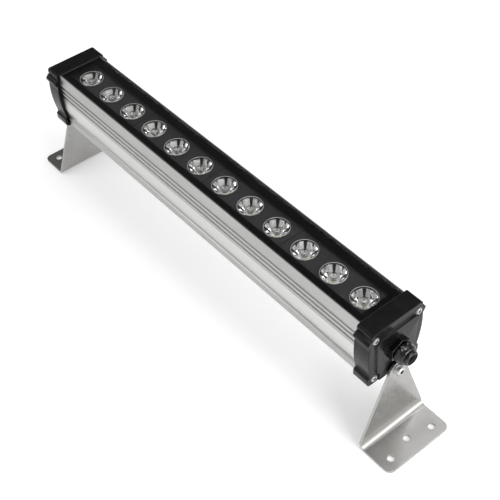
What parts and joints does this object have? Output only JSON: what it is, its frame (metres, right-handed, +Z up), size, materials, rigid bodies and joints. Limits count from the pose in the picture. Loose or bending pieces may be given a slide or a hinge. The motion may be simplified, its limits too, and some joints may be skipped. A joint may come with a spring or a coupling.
{
  "type": "outdoor wall washer light",
  "caption": "Linear outdoor wall washer: extruded aluminium bar with a row of round lenses, black end caps, a cable gland and bent sheet swivel feet.",
  "frame": {"origin": "centre of the ground rectangle under the standing light", "axes": "X along the bar towards the cable gland, Y across the bar, Z up and out of the window"},
  "size_m": [0.587, 0.079, 0.1505],
  "materials": {
    "bare_aluminium": "fine anodised satin, extruded",
    "clear_glass": "polished tempered pane",
    "black_enamel": "fired black print under the pane",
    "seal_rubber": "matte moulded",
    "black_plastic": "satin moulded",
    "clear_acrylic": "polished moulded lens",
    "white_board": "white solder mask on metal core board",
    "led_package": "phosphor under a clear dome",
    "thermal_rubber": "soft silicone pad",
    "zinc_steel": "bright plated",
    "red_wire": "insulated wire",
    "black_wire": "insulated wire",
    "case_plastic": "moulded case",
    "green_board": "green solder mask",
    "driver_plastic": "taped coils and sleeved cans",
    "black_paint": "satin black powder coat on die casting",
    "gland_nylon": "moulded black nylon",
    "brushed_stainless": "brushed sheet, bent",
    "spacer_nylon": "plain nylon spacer",
    "insert_brass": "turned brass, cast in"
  },
  "bodies": {
    "bar": {"housing": "bare_aluminium", "window_glass": "clear_glass", "window_mask": "black_enamel", "glass_seal": "seal_rubber", "lens_tray_1": "black_plastic", "lens_group_1": "clear_acrylic", "led_board_1": "white_board", "led_group_1": "led_package", "thermal_pad_1": "thermal_rubber", "lens_tray_2": "black_plastic", "lens_group_2": "clear_acrylic", "led_board_2": "white_board", "led_group_2": "led_package", "thermal_pad_2": "thermal_rubber", "lens_tray_3": "black_plastic", "lens_group_3": "clear_acrylic", "led_board_3": "white_board", "led_group_3": "led_package", "thermal_pad_3": "thermal_rubber", "lens_tray_4": "black_plastic", "lens_group_4": "clear_acrylic", "led_board_4": "white_board", "led_group_4": "led_package", "thermal_pad_4": "thermal_rubber", "board_screws": "zinc_steel", "driver_screws": "zinc_steel", "link_wires": "red_wire", "feed_wires": "black_wire", "driver_case": "case_plastic", "driver_board": "green_board", "driver_parts": "driver_plastic", "gland_end_cap": "black_paint", "blind_end_cap": "black_paint", "gland_body": "gland_nylon", "gland_lock_nut": "gland_nylon", "gland_o_ring": "seal_rubber", "gland_seal": "seal_rubber", "near_gasket": "seal_rubber", "near_cap_washers": "zinc_steel", "near_cap_screws": "zinc_steel", "near_pivot_bolt": "zinc_steel", "near_bolt_spacer": "spacer_nylon", "near_bolt_washer": "zinc_steel", "near_spring_washer": "zinc_steel", "near_insert": "insert_brass", "far_gasket": "seal_rubber", "far_cap_washers": "zinc_steel", "far_cap_screws": "zinc_steel", "far_pivot_bolt": "zinc_steel", "far_bolt_spacer": "spacer_nylon", "far_bolt_washer": "zinc_steel", "far_spring_washer": "zinc_steel", "far_insert": "insert_brass"},
    "near_foot": {"near_foot": "brushed_stainless"},
    "far_foot": {"far_foot": "brushed_stainless"},
    "dome_nut": {"gland_dome_nut": "gland_nylon"}
  },
  "joints": [
    {"name": "near_foot_swivel", "type": "hinge", "parent": "bar", "child": "near_foot", "pos_m": [0.25475, 0, 0.088], "axis": [1, 0, 0], "range_deg": [-90, 90]},
    {"name": "far_foot_swivel", "type": "hinge", "parent": "bar", "child": "far_foot", "pos_m": [-0.25475, 0, 0.088], "axis": [1, 0, 0], "range_deg": [-90, 90]},
    {"name": "dome_nut_turn", "type": "hinge", "parent": "bar", "child": "dome_nut", "pos_m": [0.264, 0, 0.115], "axis": [1, 0, 0], "range_deg": [-360, 0]}
  ]
}
